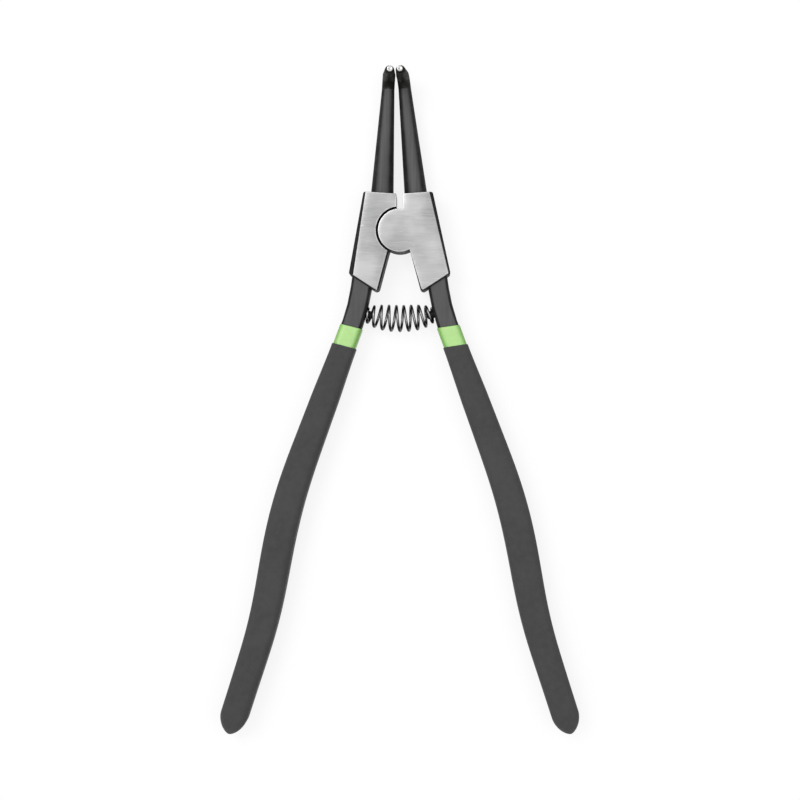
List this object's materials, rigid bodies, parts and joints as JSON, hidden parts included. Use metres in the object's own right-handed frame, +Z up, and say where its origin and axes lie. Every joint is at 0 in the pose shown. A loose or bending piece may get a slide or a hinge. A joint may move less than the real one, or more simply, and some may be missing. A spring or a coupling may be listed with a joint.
{
  "type": "circlip pliers",
  "caption": "Circlip pliers for outside rings: lap-jointed halves, tapered jaws with tips bent upright, a barrel return spring and dipped handles. Squeezing spreads the tips.",
  "frame": {"origin": "on the pivot axis, in the rear ground face of the joint, which the pliers lie on", "axes": "+X to the right, +Y from the handles towards the tips, +Z up, the way the bent tips point"},
  "size_m": [0.1686, 0.314, 0.025],
  "materials": {
    "forged_steel": "black oxide with ground satin faces on the joint",
    "rivet_steel": "ground satin",
    "spring_steel": "black phosphate",
    "tip_steel": "ground bright",
    "green_dip": "semi-gloss dipped vinyl",
    "grey_dip": "matte dipped vinyl"
  },
  "bodies": {
    "front_half": {"right_half": "forged_steel", "pivot_rivet": "rivet_steel", "right_spring_peg": "spring_steel", "right_tip": "tip_steel", "right_inner_dip": "green_dip", "right_grip": "grey_dip", "return_spring": "spring_steel"},
    "rear_half": {"left_half": "forged_steel", "left_spring_peg": "spring_steel", "left_tip": "tip_steel", "left_inner_dip": "green_dip", "left_grip": "grey_dip"}
  },
  "joints": [
    {"name": "pivot", "type": "hinge", "parent": "front_half", "child": "rear_half", "pos_m": [0, 0, 0.0065], "axis": [0, 0, 1], "range_deg": [0, 18], "stiffness_Nm_per_rad": 2, "springref_deg": -17.19, "deforming": ["return_spring"]}
  ]
}
